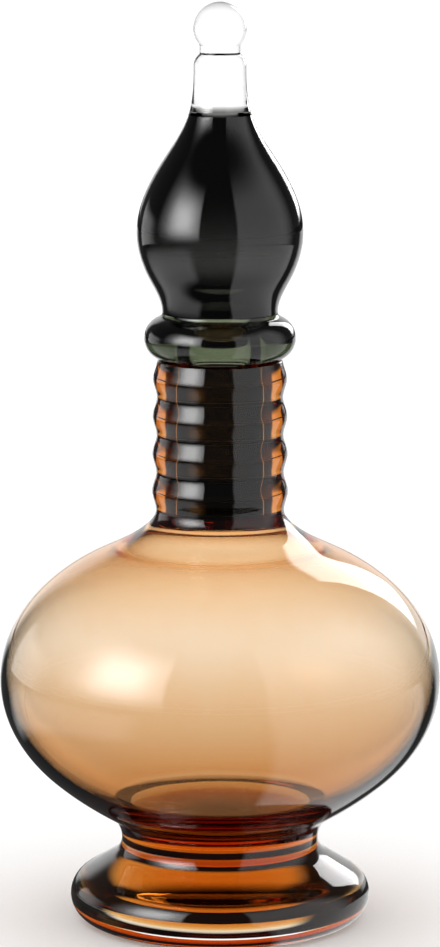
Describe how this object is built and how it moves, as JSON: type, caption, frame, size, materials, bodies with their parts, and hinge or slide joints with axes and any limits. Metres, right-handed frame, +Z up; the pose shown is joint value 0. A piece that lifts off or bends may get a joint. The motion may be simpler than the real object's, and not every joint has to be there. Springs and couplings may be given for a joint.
{
  "type": "genie bottle",
  "caption": "Blown glass bottle with a round bowl, ribbed neck and flanged foot, and a hollow onion-shaped stopper that lifts out of the neck.",
  "frame": {"origin": "centre of the flat base, where the foot meets the table", "axes": "+Z up along the bottle's axis; the bottle is round about Z"},
  "size_m": [0.172, 0.172, 0.36],
  "materials": {
    "amber_glass": "fire-polished amber glass, coloured through",
    "clear_glass": "fire-polished clear glass",
    "smoke_glass": "fire-polished dark smoke glass",
    "olive_smoke_glass": "fire-polished olive smoke glass"
  },
  "bodies": {
    "bottle": {"bowl": "amber_glass", "neck": "amber_glass", "foot_core": "amber_glass", "foot": "clear_glass"},
    "stopper": {"plug": "smoke_glass", "collar": "olive_smoke_glass", "bulb": "smoke_glass", "finial": "clear_glass"}
  },
  "joints": [
    {"name": "stopper_lift", "type": "slide", "parent": "bottle", "child": "stopper", "axis": [0, 0, 1], "range_m": [0, 0.1]}
  ]
}
